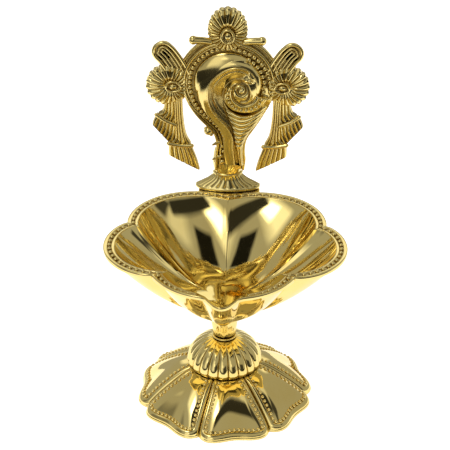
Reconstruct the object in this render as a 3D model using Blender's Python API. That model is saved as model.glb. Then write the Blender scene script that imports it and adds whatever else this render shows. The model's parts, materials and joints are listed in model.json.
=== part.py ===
"""Brass oil lamp (diya): a seven-petal lotus foot, a ribbed dome, and a six-lobed bowl with a
pouring spout, which screws onto a stud in the foot. A conch emblem stands on the back of the rim.

Lengths are in metres. The lamp's axis is vertical, the spout points to -Y and the emblem is at +Y.
The origin is on the floor at the middle of the lamp's outer box.
"""

import math

import bmesh
import bpy
from mathutils import Vector

MM = 0.001

# Lotus foot
PETALS = 7
PETAL_TURN = math.radians(9.4)
PETAL_EDGE = 31.5 * MM
PETAL_CORNER = 1.8 * MM
PETAL_NOTCH = 2.6 * MM
CORNER_AT = 0.65
EDGE_HEIGHT = 1.3 * MM
EDGE_FLAT = 2.4 * MM
FOOT_WALL = 1.7 * MM
PETAL_CURVE = 1.55
FOOT_SEAT_RADIUS = 12.6 * MM
FOOT_SEAT_Z = 14.6 * MM
BOSS_RADIUS = 6.0 * MM
BOSS_Z = 10.2 * MM

# Gap between pieces that rest on each other
GAP = 0.3 * MM

# Ribbed dome
RIBS = 21
RIB_DEPTH = 0.075
DOME_RADIUS = 14.4 * MM
DOME_HEIGHT = 11.6 * MM
DOME_NECK = 4.5 * MM
DOME_WALL = 1.8 * MM
DOME_Z = FOOT_SEAT_Z + GAP

# Neck ring, which lies between the dome and the stem
RING_RADIUS = 4.7 * MM
RING_THICKNESS = 0.7 * MM
RING_Z = DOME_Z + DOME_HEIGHT + GAP

# Threaded joint of the bowl
STUD_RADIUS = 2.45 * MM
BORE_RADIUS = 2.50 * MM
CLEAR_RADIUS = 2.70 * MM
ENGAGEMENT = 6.0 * MM
STEM_Z = RING_Z + RING_THICKNESS + GAP
STUD_TOP = STEM_Z + ENGAGEMENT
BORE_DEPTH = ENGAGEMENT + 0.5 * MM
STUD_BOTTOM = 4.2 * MM

# Nut and washer under the foot
WASHER_RADIUS = 5.5 * MM
WASHER_THICKNESS = 1.0 * MM
NUT_ACROSS_FLATS = 8.0 * MM
NUT_HEIGHT = 3.6 * MM
WASHER_Z = BOSS_Z - GAP - WASHER_THICKNESS
NUT_Z = WASHER_Z - GAP - NUT_HEIGHT

# Bowl. A cusp between two lobes is (angle from the front, distance from the axis). A lobe's bulge
# is (height over the line between its cusps, skew towards the front, roundness).
RIM_Z = 61.5 * MM
BACK_CUSP = (math.radians(180), 46.5 * MM)
SIDE_CUSP = (math.radians(122.3), 44.9 * MM)
FRONT_CUSP = (math.radians(63.5), 29.6 * MM)
FRONT_MIDDLE = (0.0, 27.5 * MM)
BACK_BULGE = (6.4 * MM, 1.15, 0.80)
SIDE_BULGE = (8.0 * MM, 1.00, 0.75)
FRONT_BULGE = (0.6 * MM, 1.00, 0.80)
SPOUT_SHARPNESS = 0.165 / MM
SPOUT_TIP = 34.5 * MM
SPOUT_BLEND = 1.1 * MM
SPOUT_ANGLE = math.radians(15)
RIM_WIDTH = 4.3 * MM
LIP_WIDTH = 1.6 * MM
LIP_ANGLES = (math.radians(10), math.radians(60))
OUTER_INSET = 0.3
RIM_THICKNESS = 1.5 * MM
FLOOR_Z = 43.5 * MM
STEM_RADIUS = 4.4 * MM
STEM_TOP_RADIUS = 5.8 * MM
STEM_TOP_Z = 38.2 * MM
BOWL_CURVE = 1.8
INNER_FLATNESS = 2.2
INNER_STEEPNESS = 0.75
KEEL = 0.12
KEEL_ANGLE = math.radians(20)
STEPS_PER_LOBE = (10, 12, 8, 8)

# Emblem, placed by its seat on the back of the rim
EMBLEM_FRONT = 47.6 * MM
EMBLEM_BACK = 53.6 * MM
EMBLEM_Z = RIM_Z + GAP
PLATE_BACK = 52.6 * MM
BACK_STAGGER_FROM = 50.4 * MM
DISC_HEIGHT = 46.8 * MM
EMBLEM_X = -0.6 * MM
DISC_RADIUS = 17.8 * MM
CONCH_RADIUS = 12.6 * MM
CREST_HEIGHT = 69.4 * MM
CREST_WIDTH = 7.8 * MM
CREST_REACH = 9.3 * MM
SHELL_SIDE = 23.0 * MM
SHELL_HEIGHT = 45.3 * MM
SHELL_RADIUS = 8.3 * MM
FOOT_HALF_WIDTH = 12.6 * MM
NECK_HALF_WIDTH = 5.3 * MM

# Screws that hold the emblem on the rim's back lug
LUG_HALF_WIDTH = 12.0 * MM
LUG_THICKNESS = 2.0 * MM
LUG_FRONT = 46.0 * MM
LUG_BACK = 53.3 * MM
SCREW_SPREAD = 4.5 * MM
SCREW_Y = 51.4 * MM
SCREW_RADIUS = 1.0 * MM
SCREW_HOLE = 1.3 * MM
SCREW_HEAD = 2.0 * MM
SCREW_HEAD_HEIGHT = 1.2 * MM
SCREW_DEPTH = 3.0 * MM

# The lamp's axis lies in front of the outer box's middle, because the emblem reaches further
AXIS_Y = (SPOUT_TIP - EMBLEM_BACK) / 2

BRASS = {
    "polished": (0.80, 0.58, 0.24),
    "steel": (0.55, 0.54, 0.52),
}


def clear_scene():
    for obj in list(bpy.data.objects):
        bpy.data.objects.remove(obj, do_unlink=True)


def metal(name, colour, roughness):
    material = bpy.data.materials.new(name)
    material.use_nodes = True
    shader = material.node_tree.nodes["Principled BSDF"]
    shader.inputs["Base Color"].default_value = (*colour, 1.0)
    shader.inputs["Metallic"].default_value = 1.0
    shader.inputs["Roughness"].default_value = roughness
    return material


def add_object(name, mesh, parent, material=None):
    obj = bpy.data.objects.new(name, mesh)
    bpy.context.scene.collection.objects.link(obj)
    obj.parent = parent
    if material:
        mesh.materials.append(material)
        mesh.shade_smooth()
        mesh.set_sharp_from_angle(angle=math.radians(35))
    return obj


def finish_mesh(name, bm):
    bmesh.ops.recalc_face_normals(bm, faces=bm.faces)
    mesh = bpy.data.meshes.new(name)
    bm.to_mesh(mesh)
    bm.free()
    return mesh


def loft(name, loops, hollow=False):
    """A closed skin through loops of equal length. A hollow one joins its last loop to its first,
    and otherwise each end closes on the middle of its loop."""
    bm = bmesh.new()
    rows = [[bm.verts.new(point) for point in loop] for loop in loops]
    if hollow:
        rows.append(rows[0])
    for lower, upper in zip(rows, rows[1:]):
        join_rows(bm, lower, upper)
    if not hollow:
        for row in (rows[0], rows[-1]):
            close_on_centre(bm, row)
    return finish_mesh(name, bm)


def join_rows(bm, lower, upper):
    for i, vert in enumerate(lower):
        bm.faces.new((lower[i - 1], vert, upper[i], upper[i - 1]))


def close_on_centre(bm, row):
    centre = sum((vert.co for vert in row), Vector()) / len(row)
    pole = bm.verts.new(centre)
    for i, vert in enumerate(row):
        bm.faces.new((row[i - 1], vert, pole))


def ring(radius_at, height_at, angles):
    """Points around the axis. An angle is measured from the front (-Y) towards +X."""
    points = []
    for angle in angles:
        radius = radius_at(angle) if callable(radius_at) else radius_at
        height = height_at(angle) if callable(height_at) else height_at
        points.append(Vector((radius * math.sin(angle), -radius * math.cos(angle), height)))
    return points


def even_angles(count, start=0.0):
    return [start + 2 * math.pi * i / count for i in range(count)]


def turned(name, profile, count, hollow=False):
    """A turned piece from (radius, height) points."""
    angles = even_angles(count)
    return loft(name, [ring(radius, height, angles) for radius, height in profile], hollow)


def empty(name, parent, location=(0, 0, 0)):
    obj = bpy.data.objects.new(name, None)
    bpy.context.scene.collection.objects.link(obj)
    obj.parent = parent
    obj.location = location
    return obj


# --- Lotus foot ---------------------------------------------------------------------------------


def petal_place(angle):
    """Where an angle falls across its petal: -1 and 1 at the notches, 0 in the middle."""
    pitch = 2 * math.pi / PETALS
    return ((angle - PETAL_TURN + pitch / 2) % pitch - pitch / 2) / (pitch / 2)


def petal_edge(angle):
    """The foot's outer radius: each petal has two rounded corners and a shallow dip between."""
    place = abs(petal_place(angle))
    if place < CORNER_AT:
        return PETAL_EDGE + PETAL_CORNER * (1 - math.cos(math.pi * place / CORNER_AT)) / 2
    past_corner = (place - CORNER_AT) / (1 - CORNER_AT)
    return PETAL_EDGE + PETAL_CORNER - PETAL_NOTCH * past_corner ** 2


def petal_loops(angles):
    """The petals' skin: over the top from the seat to the edge, then back underneath."""
    outer_steps = 7
    inner_steps = 4
    loops = []
    for i in range(1, outer_steps + 1):
        loops.append(petal_row(i / outer_steps, 0.0, angles))
    loops.append(ring(petal_edge, 0.0, angles))
    loops.append(ring(lambda a: petal_edge(a) - EDGE_FLAT, 0.0, angles))
    for i in range(inner_steps, 0, -1):
        loops.append(petal_row(0.92 * i / inner_steps, FOOT_WALL, angles))
    return loops


def petal_row(share, depth, angles):
    """One row of the petals at a share of the way from the seat to the edge."""

    def radius(angle):
        flat = petal_edge(angle) - FOOT_SEAT_RADIUS
        return FOOT_SEAT_RADIUS + flat * share - depth * share

    def height(angle):
        place = abs(petal_place(angle))
        valley = 1 - 0.13 * place ** 4 * math.sin(math.pi * share)
        drop = (1 - share ** PETAL_CURVE) * valley
        return EDGE_HEIGHT + (FOOT_SEAT_Z - EDGE_HEIGHT) * drop - depth

    return ring(radius, height, angles)


def make_foot(parent, material):
    angles = even_angles(PETALS * 14, PETAL_TURN + math.pi / PETALS)
    loops = [
        ring(CLEAR_RADIUS, BOSS_Z, angles),
        ring(CLEAR_RADIUS, FOOT_SEAT_Z, angles),
        ring(FOOT_SEAT_RADIUS, FOOT_SEAT_Z, angles),
    ]
    loops += petal_loops(angles)
    loops.append(ring(BOSS_RADIUS, FOOT_SEAT_Z - FOOT_WALL, angles))
    loops.append(ring(BOSS_RADIUS, BOSS_Z, angles))
    return add_object("lotus_foot", loft("lotus_foot", loops, hollow=True), parent, material)


# --- Dome, ring, stud, washer and nut -----------------------------------------------------------


def dome_radius(share):
    """The dome's radius at a share of its height, from its belly to its neck."""
    return DOME_NECK + (DOME_RADIUS - DOME_NECK) * (1 - share ** 2.2) ** 0.66


def make_dome(parent, material):
    angles = even_angles(RIBS * 4)
    steps = 6
    outer = []
    for i in range(steps + 1):
        share = i / steps

        def radius(angle, share=share):
            rib = abs(math.cos(RIBS * angle / 2))
            fade = math.sin(math.pi * (0.15 + 0.8 * share))
            return dome_radius(share) * (1 - RIB_DEPTH * fade * (1 - rib))

        outer.append(ring(radius, DOME_Z + DOME_HEIGHT * share, angles))
    inner = []
    for i in range(steps, -1, -1):
        share = i / steps
        inner_radius = max(CLEAR_RADIUS, dome_radius(share) * 0.93 - DOME_WALL)
        inner.append(ring(inner_radius, DOME_Z + (DOME_HEIGHT - DOME_WALL) * share, angles))
    inner.insert(0, ring(CLEAR_RADIUS, DOME_Z + DOME_HEIGHT, angles))
    mesh = loft("ribbed_dome", outer + inner, hollow=True)
    return add_object("ribbed_dome", mesh, parent, material)


def make_neck_ring(parent, material):
    top = RING_Z + RING_THICKNESS
    middle = RING_Z + RING_THICKNESS / 2
    profile = [
        (CLEAR_RADIUS, RING_Z),
        (RING_RADIUS - 0.3 * MM, RING_Z),
        (RING_RADIUS, middle),
        (RING_RADIUS - 0.3 * MM, top),
        (CLEAR_RADIUS, top),
    ]
    mesh = turned("neck_ring", profile, 36, hollow=True)
    return add_object("neck_ring", mesh, parent, material)


def make_stud(parent, material):
    lead = 0.6 * MM
    profile = [
        (STUD_RADIUS - lead, STUD_BOTTOM),
        (STUD_RADIUS, STUD_BOTTOM + lead),
        (STUD_RADIUS, STUD_TOP - lead),
        (STUD_RADIUS - lead, STUD_TOP),
    ]
    return add_object("foot_stud", turned("foot_stud", profile, 36), parent, material)


def make_washer(parent, material):
    profile = [
        (CLEAR_RADIUS, WASHER_Z),
        (WASHER_RADIUS, WASHER_Z),
        (WASHER_RADIUS, WASHER_Z + WASHER_THICKNESS),
        (CLEAR_RADIUS, WASHER_Z + WASHER_THICKNESS),
    ]
    mesh = turned("foot_washer", profile, 36, hollow=True)
    return add_object("foot_washer", mesh, parent, material)


def make_nut(parent, material):
    angles = even_angles(36)

    def hexagon(angle):
        face = math.pi / 3
        return NUT_ACROSS_FLATS / 2 / math.cos((angle + face / 2) % face - face / 2)

    loops = [
        ring(BORE_RADIUS, NUT_Z, angles),
        ring(hexagon, NUT_Z, angles),
        ring(hexagon, NUT_Z + NUT_HEIGHT, angles),
        ring(BORE_RADIUS, NUT_Z + NUT_HEIGHT, angles),
    ]
    return add_object("foot_nut", loft("foot_nut", loops, hollow=True), parent, material)


# --- Bowl ---------------------------------------------------------------------------------------


def lobe_radius(angle):
    """The rim's distance from the axis, without the spout."""
    away = abs((angle + math.pi) % (2 * math.pi) - math.pi)
    if away > SIDE_CUSP[0]:
        start, end, (bulge, skew, roundness) = BACK_CUSP, SIDE_CUSP, BACK_BULGE
    elif away > FRONT_CUSP[0]:
        start, end, (bulge, skew, roundness) = SIDE_CUSP, FRONT_CUSP, SIDE_BULGE
    else:
        start, end, (bulge, skew, roundness) = FRONT_CUSP, FRONT_MIDDLE, FRONT_BULGE
    place = (start[0] - away) / (start[0] - end[0])
    line = start[1] + (end[1] - start[1]) * place
    return line + bulge * max(0.0, math.sin(math.pi * place ** skew)) ** roundness


def outer_radius(angle):
    """The rim's distance from the axis: the lobes, with a spout like a parabola blended in."""
    lobes = lobe_radius(angle)
    ahead = math.cos(angle)
    if ahead <= 0:
        return lobes
    spread = 4 * SPOUT_SHARPNESS * SPOUT_TIP * math.sin(angle) ** 2
    spout = 2 * SPOUT_TIP / (ahead + math.sqrt(ahead ** 2 + spread))
    gap = (spout - lobes) / SPOUT_BLEND
    return lobes + SPOUT_BLEND * (math.log1p(math.exp(gap)) if gap < 30 else gap)


def rim_radius(angle, inset=0.0):
    """The rim's outline, moved inwards by a distance measured square to it."""
    radius = outer_radius(angle)
    step = math.radians(1.5)
    slopes = [abs(outer_radius(angle + turn) - radius) / step / radius for turn in (-step, step)]
    return radius - inset * math.sqrt(1 + min(max(slopes), 1.2) ** 2)


def rim_width(angle):
    """The rim's width, which narrows to a thin lip at the spout."""
    away = abs((angle + math.pi) % (2 * math.pi) - math.pi)
    start, end = LIP_ANGLES
    share = min(1.0, max(0.0, (away - start) / (end - start)))
    return LIP_WIDTH + (RIM_WIDTH - LIP_WIDTH) * share


def lobe_angles():
    """Angles round the rim, with one on each corner between two lobes."""
    corners = [BACK_CUSP[0], SIDE_CUSP[0], FRONT_CUSP[0], SPOUT_ANGLE, 0.0]
    half = []
    for start, end, steps in zip(corners, corners[1:], STEPS_PER_LOBE):
        half += [start + (end - start) * i / steps for i in range(steps)]
    return half + [0.0] + [-angle for angle in reversed(half[1:])]


def stem_radius(radius):
    """A round stem with a soft keel at the front, which runs up into the spout."""

    def at(angle):
        turn = (angle + math.pi) % (2 * math.pi) - math.pi
        return radius * (1 + KEEL * math.exp(-((turn / KEEL_ANGLE) ** 2)))

    return at


def outer_loop(share, angles):
    """A level of the bowl's outside, from the stem (share 0) to the rim (share 1)."""
    stem_top = stem_radius(STEM_TOP_RADIUS)

    def radius(angle):
        rim = rim_radius(angle, OUTER_INSET * rim_width(angle))
        return stem_top(angle) + (rim - stem_top(angle)) * share

    under_rim = RIM_Z - RIM_THICKNESS
    return ring(radius, STEM_TOP_Z + (under_rim - STEM_TOP_Z) * share ** BOWL_CURVE, angles)


def inner_loop(share, angles):
    """A level of the bowl's inside, from its middle (share 0) to the rim (share 1)."""
    rise = 1 - (1 - share ** INNER_FLATNESS) ** INNER_STEEPNESS
    return ring(lambda angle: rim_radius(angle, rim_width(angle)) * share,
                FLOOR_Z + (RIM_Z - FLOOR_Z) * rise, angles)


def make_bowl_body(parent, material):
    angles = lobe_angles()
    bore_top = STEM_Z + BORE_DEPTH
    loops = [
        ring(0.4 * BORE_RADIUS, bore_top, angles),
        ring(BORE_RADIUS, bore_top, angles),
        ring(BORE_RADIUS, STEM_Z, angles),
        ring(STEM_RADIUS, STEM_Z, angles),
        ring(stem_radius(STEM_RADIUS), STEM_Z + 0.6 * MM, angles),
    ]
    for share in (0.0, 0.08, 0.2, 0.35, 0.5, 0.65, 0.8, 0.92, 1.0):
        loops.append(outer_loop(share, angles))
    loops.append(ring(rim_radius, RIM_Z - RIM_THICKNESS, angles))
    loops.append(ring(rim_radius, RIM_Z, angles))
    for share in (1.0, 0.97, 0.9, 0.78, 0.64, 0.5, 0.36, 0.22, 0.1):
        loops.append(inner_loop(share, angles))
    return add_object("oil_bowl", loft("oil_bowl", loops), parent, material)


def make_lug(parent):
    """The seat behind the rim, which carries the emblem."""
    corners = []
    for side in (-1, 1):
        corners.append((side * LUG_HALF_WIDTH, LUG_FRONT))
        corners.append((side * LUG_HALF_WIDTH, LUG_BACK))
    outline = [corners[0], corners[2], corners[3], corners[1]]
    low = [Vector((x, y, RIM_Z - LUG_THICKNESS)) for x, y in outline]
    high = [Vector((x, y, RIM_Z)) for x, y in outline]
    return cutter("bowl_lug", loft("bowl_lug", [low, high]), parent)


def cutter(name, mesh, parent):
    obj = add_object(name, mesh, parent)
    obj.hide_render = True
    obj.display_type = "WIRE"
    return obj


def combine(obj, other, operation):
    modifier = obj.modifiers.new(other.name, "BOOLEAN")
    modifier.operation = operation
    modifier.solver = "EXACT"
    modifier.object = other


def screw_hole(parent, side):
    low = RIM_Z - LUG_THICKNESS - MM
    high = EMBLEM_Z + SCREW_DEPTH
    mesh = turned(f"screw_hole_{side}", [(SCREW_HOLE, low), (SCREW_HOLE, high)], 24)
    obj = cutter(f"screw_hole_{side}", mesh, parent)
    obj.location = (side * SCREW_SPREAD, SCREW_Y, 0)
    return obj


def make_screw(parent, material, side):
    head_top = RIM_Z - LUG_THICKNESS - GAP
    profile = [
        (SCREW_HEAD * 0.6, head_top - SCREW_HEAD_HEIGHT),
        (SCREW_HEAD, head_top - SCREW_HEAD_HEIGHT * 0.4),
        (SCREW_HEAD, head_top),
        (SCREW_RADIUS, head_top),
        (SCREW_RADIUS, EMBLEM_Z + SCREW_DEPTH - GAP),
    ]
    name = "emblem_screw_right" if side > 0 else "emblem_screw_left"
    obj = add_object(name, turned(name, profile, 24), parent, material)
    obj.location = (side * SCREW_SPREAD, SCREW_Y, 0)
    return obj


# --- Emblem -------------------------------------------------------------------------------------


def slab(name, outline, front, parent):
    """A flat piece of the emblem. The outline is (across, up) from the middle of its seat, and a
    piece that stands further forward is also cut back further behind, so that no backs coincide."""
    back = PLATE_BACK + (front - BACK_STAGGER_FROM) / 2
    near = [Vector((EMBLEM_X + x, front, EMBLEM_Z + z)) for x, z in outline]
    far = [Vector((EMBLEM_X + x, back, EMBLEM_Z + z)) for x, z in outline]
    bm = bmesh.new()
    near_verts = [bm.verts.new(point) for point in near]
    far_verts = [bm.verts.new(point) for point in far]
    join_rows(bm, near_verts, far_verts)
    bm.faces.new(near_verts)
    bm.faces.new(far_verts)
    return cutter(name, finish_mesh(name, bm), parent)


def oval(centre, across, up, count=32, scallops=0, depth=0.0):
    points = []
    for i in range(count):
        angle = 2 * math.pi * i / count
        swell = 1 + depth * (abs(math.cos(scallops * angle / 2)) - 1) if scallops else 1
        points.append((centre[0] + across * swell * math.cos(angle),
                       centre[1] + up * swell * math.sin(angle)))
    return points


def mirrored(outline):
    return [(-x, z) for x, z in reversed(outline)]


def scaled(points):
    return [(x * MM, z * MM) for x, z in points]


def emblem_base(parent):
    """The flared foot of the emblem and its neck: half-round sections with a flat back."""
    levels = (
        (0.0, FOOT_HALF_WIDTH, 1.0),
        (0.9 * MM, FOOT_HALF_WIDTH, 1.0),
        (3.3 * MM, 8.2 * MM, 0.85),
        (5.6 * MM, NECK_HALF_WIDTH, 0.75),
        (12.0 * MM, NECK_HALF_WIDTH + 0.5 * MM, 0.7),
        (20.0 * MM, NECK_HALF_WIDTH + 0.2 * MM, 0.65),
    )
    depth = EMBLEM_BACK - EMBLEM_FRONT
    back = EMBLEM_BACK
    loops = []
    for height, half_width, share in levels:
        loop = []
        for i in range(17):
            angle = math.pi * i / 16
            loop.append(Vector((half_width * math.cos(angle),
                                back - depth * share * (0.25 + 0.75 * math.sin(angle)),
                                EMBLEM_Z + height)))
        loop.append(Vector((-half_width, back, EMBLEM_Z + height)))
        loop.append(Vector((half_width, back, EMBLEM_Z + height)))
        loops.append(loop)
    return add_object("conch_emblem", loft("emblem_base", loops), parent)


def conch_dome(parent):
    """The conch's swollen body in the middle of the disc."""
    steps = 5
    middle = EMBLEM_Z + DISC_HEIGHT
    loops = []
    angles = even_angles(36)
    for i in range(steps):
        turn = math.pi / 2 * i / steps
        across = CONCH_RADIUS * math.cos(turn)
        front = 49.3 * MM - 3.4 * MM * math.sin(turn)
        loops.append([Vector((EMBLEM_X + across * math.sin(a), front, middle + across * math.cos(a)))
                      for a in angles])
    flat = [Vector((p.x, PLATE_BACK - MM, p.z)) for p in loops[0]]
    return cutter("conch_dome", loft("conch_dome", [flat] + loops), parent)


def emblem_slabs(parent):
    """The flat pieces that make up the rest of the emblem."""
    body = scaled([(-16.4, 39.4), (-10.4, 28.2), (-7.2, 22.4), (-4.9, 17.0), (-3.7, 9.1),
                   (3.9, 9.1), (6.4, 17.0), (7.4, 22.4), (10.4, 28.2), (16.4, 39.4)])
    shoulders = scaled([(-19.0, 51.0), (-18.3, 58.6), (-14.4, 62.4), (-14.4, 64.9), (14.4, 64.9),
                        (14.4, 62.4), (18.3, 58.6), (19.0, 51.0)])[::-1]
    loop = scaled([(-19.4, 49.0), (-17.6, 56.8), (-20.0, 62.0), (-23.4, 64.2), (-26.6, 63.8),
                   (-28.6, 61.0), (-27.8, 57.0), (-24.6, 50.0)])
    outer_tassel = scaled([(-19.6, 40.0), (-24.2, 40.0), (-24.8, 34.6), (-27.4, 32.4),
                           (-29.2, 28.2), (-22.4, 19.6), (-19.4, 20.6), (-18.8, 31.0)])
    inner_tassel = scaled([(-17.6, 41.0), (-20.6, 40.0), (-20.4, 23.0), (-22.8, 19.8),
                           (-23.0, 15.0), (-12.4, 7.6), (-10.6, 9.4), (-14.2, 19.4),
                           (-15.8, 21.0), (-17.4, 30.0)])
    pieces = [
        slab("emblem_disc", oval((0, DISC_HEIGHT), DISC_RADIUS, DISC_RADIUS, 48), 49.2 * MM, parent),
        slab("emblem_body", body, 49.6 * MM, parent),
        slab("emblem_shoulders", shoulders, 50.4 * MM, parent),
        slab("emblem_ball", oval((-8.2 * MM, 25.3 * MM), 2.2 * MM, 2.2 * MM, 14), 49.0 * MM, parent),
        slab("emblem_crest", oval((0, CREST_HEIGHT), CREST_WIDTH, CREST_REACH, 60, 15, 0.07),
             48.6 * MM, parent),
    ]
    for side, turn in (("left", list), ("right", mirrored)):
        centre = (-SHELL_SIDE if side == "left" else SHELL_SIDE, SHELL_HEIGHT)
        shell = oval(centre, SHELL_RADIUS, SHELL_RADIUS, 60, 15, 0.07)
        pieces.append(slab(f"emblem_shell_{side}", shell, 48.9 * MM, parent))
        pieces.append(slab(f"emblem_loop_{side}", turn(loop), 50.0 * MM, parent))
        pieces.append(slab(f"emblem_outer_tassel_{side}", turn(outer_tassel), 50.1 * MM, parent))
        pieces.append(slab(f"emblem_inner_tassel_{side}", turn(inner_tassel), 49.7 * MM, parent))
    return pieces


def make_emblem(parent, material):
    emblem = emblem_base(parent)
    emblem.data.materials.append(material)
    for piece in emblem_slabs(parent) + [conch_dome(parent)]:
        combine(emblem, piece, "UNION")
    return emblem


# --- Assembly -----------------------------------------------------------------------------------


def build():
    clear_scene()
    brass = metal("polished_brass", BRASS["polished"], 0.08)
    foot_brass = metal("foot_brass", BRASS["polished"], 0.10)
    relief_brass = metal("relief_brass", BRASS["polished"], 0.18)
    steel = metal("plated_steel", BRASS["steel"], 0.35)

    axis = empty("lamp_axis", None, (0, AXIS_Y, 0))
    make_foot(axis, foot_brass)
    make_dome(axis, foot_brass)
    make_stud(axis, steel)
    make_washer(axis, steel)
    make_nut(axis, steel)
    make_neck_ring(axis, brass)

    bowl_axis = empty("bowl_axis", axis)
    bowl = make_bowl_body(bowl_axis, brass)
    emblem = make_emblem(bowl_axis, relief_brass)
    combine(bowl, make_lug(bowl_axis), "UNION")
    for side in (-1, 1):
        hole = screw_hole(bowl_axis, side)
        combine(bowl, hole, "DIFFERENCE")
        combine(emblem, hole, "DIFFERENCE")
        make_screw(bowl_axis, steel, side)


build()
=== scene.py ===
"""The looks of a polished brass oil lamp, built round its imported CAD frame.

Lengths are in millimetres until a piece is made, and an angle round the lamp is measured from the
spout (-Y) towards +X. The emblem's own coordinates are across and up from the middle of its seat.
"""

import json
from math import atan2, cos, pi, radians, sin, tan

import bpy
import numpy as np
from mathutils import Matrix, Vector


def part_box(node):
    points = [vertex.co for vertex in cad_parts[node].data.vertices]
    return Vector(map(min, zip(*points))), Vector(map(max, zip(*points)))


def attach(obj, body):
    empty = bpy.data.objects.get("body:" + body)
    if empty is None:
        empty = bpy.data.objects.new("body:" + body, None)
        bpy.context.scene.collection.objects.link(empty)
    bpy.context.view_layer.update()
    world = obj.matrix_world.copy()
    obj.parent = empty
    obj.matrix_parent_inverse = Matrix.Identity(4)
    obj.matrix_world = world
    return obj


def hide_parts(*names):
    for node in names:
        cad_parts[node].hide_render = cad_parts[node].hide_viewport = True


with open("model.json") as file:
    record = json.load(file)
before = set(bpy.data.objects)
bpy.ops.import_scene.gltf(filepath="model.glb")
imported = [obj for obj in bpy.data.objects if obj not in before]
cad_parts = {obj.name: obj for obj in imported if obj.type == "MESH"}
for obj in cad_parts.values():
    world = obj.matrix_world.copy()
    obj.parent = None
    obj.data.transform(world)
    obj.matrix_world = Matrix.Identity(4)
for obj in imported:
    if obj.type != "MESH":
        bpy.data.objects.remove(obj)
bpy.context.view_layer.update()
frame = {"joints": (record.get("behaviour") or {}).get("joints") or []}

MM = 0.001
TURN = 2 * pi
TINY = 1e-9
SIDES = {"left": -1, "right": 1}


def corner(node, end):
    """The lowest (end 0) or highest (end 1) corner of a CAD node, in millimetres."""
    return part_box(node)[end] / MM


def heights(node):
    return corner(node, 0).z, corner(node, 1).z


# Places that come from the frame
HINGE = next(joint for joint in frame["joints"] if joint["name"] == "bowl_unscrew")
AXIS_Y = HINGE["pos_m"][1] / MM
STEM_Z = HINGE["pos_m"][2] / MM
SEAT_Z = corner("lotus_foot", 1).z
DOME_Z, DOME_TOP = heights("ribbed_dome")
RING_Z, RING_TOP = heights("neck_ring")
RING_RADIUS = corner("neck_ring", 1).x
RIM_Z = corner("oil_bowl", 1).z
SPOUT_TIP = AXIS_Y - corner("oil_bowl", 0).y
EMBLEM_Z = corner("conch_emblem", 0).z

# Lotus foot
PETALS = 7
HALF_PETAL = pi / PETALS
PETAL_TURN = radians(9.4)
PETAL_EDGE = 31.5
PETAL_CORNER = 1.8
PETAL_NOTCH = 2.6
CORNER_AT = 0.65
EDGE_HEIGHT = 1.3
FOOT_WALL = 1.7
PETAL_CURVE = 1.55
SEAT_RADIUS = 12.6
BOSS_RADIUS = 6.0
BOSS_Z = 10.2
HOLE_RADIUS = 2.7
PETAL_COLUMNS = 108
BEAD_INSET = 2.5
BEAD_PITCH = 1.75

# Ribbed dome
RIBS = 21
RIB_DEPTH = 0.085
DOME_RADIUS = 14.4
DOME_NECK = 4.5

# Stud
THREAD_PITCH = 0.8
THREAD_DEPTH = 0.42

# Bowl, with cusps as (angle, distance from the axis) and bulges as (height, skew, roundness)
BACK_CUSP = (radians(180), 46.5)
SIDE_CUSP = (radians(122.3), 44.9)
FRONT_CUSP = (radians(63.5), 29.6)
FRONT_MIDDLE = (0.0, 27.5)
BACK_BULGE = (6.4, 1.15, 0.80)
SIDE_BULGE = (8.0, 1.00, 0.75)
FRONT_BULGE = (0.6, 1.00, 0.80)
SPOUT_SHARPNESS = 0.165
SPOUT_BLEND = 1.1
RIM_WIDTH = 4.3
FRONT_RIM_WIDTH = 2.6
LIP_WIDTH = 1.0
OUTER_INSET = 1.3
RIM_THICKNESS = 1.5
RIM_BEAD = 0.80
RIM_BEAD_PITCH = 2.7
FLOOR_Z = 43.5
STEM_RADIUS = 4.4
STEM_TOP_RADIUS = 5.8
STEM_TOP_Z = 38.2
BORE_RADIUS = 2.5
BORE_DEPTH = 6.5
BOWL_CURVE = 1.8
KEEL = 0.12
KEEL_ANGLE = radians(20)

# Emblem, and the lug behind the rim that carries it
EMBLEM_X = -0.6
PLATE_FRONT = 50.4
DISC = (0.4, 46.8)
DISC_RADIUS = 17.8
SHOULDER = 19.4
BODY = (0.1, 47.2)
BODY_RADIUS = 13.0
WHORL = (5.2, 45.4)
BACK_SHADE = 0.25
FOOT_BACK = -3.2
LUG_PLACE = 49.6
LUG_HALF_WIDTH = 12.0
LUG_HALF_DEPTH = 3.7
LUG_ROUNDNESS = 0.35


# --- Points and curves ---


def points_at(x, y, z):
    """Points from their coordinates, each a number or an array."""
    return np.stack(np.broadcast_arrays(x, y, z), -1)


def around(radius, angle, height):
    """Points at a distance from the lamp's axis."""
    return points_at(radius * np.sin(angle), AXIS_Y - radius * np.cos(angle), height)


def on_emblem(across, up, front):
    """Points on the emblem, where front is the height over the plate's face."""
    return points_at(EMBLEM_X + across, AXIS_Y + PLATE_FRONT - front, EMBLEM_Z + up)


def full_turn(count):
    return np.linspace(0, TURN, count, endpoint=False)


def from_spout(angle):
    """An angle round the lamp, between -180 and 180 degrees."""
    return (angle + pi) % TURN - pi


def unit(vectors):
    return vectors / np.linalg.norm(vectors, axis=-1, keepdims=True)


def path_length(path):
    return np.linalg.norm(np.diff(path, axis=0), axis=1).sum()


def spaced(path, count):
    """A path's points, moved along it to be evenly spaced."""
    steps = np.linalg.norm(np.diff(path, axis=0), axis=1)
    along = np.concatenate([[0.0], np.cumsum(steps)])
    places = np.linspace(0, along[-1], count)
    return np.stack([np.interp(places, along, column) for column in path.T], -1)


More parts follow.
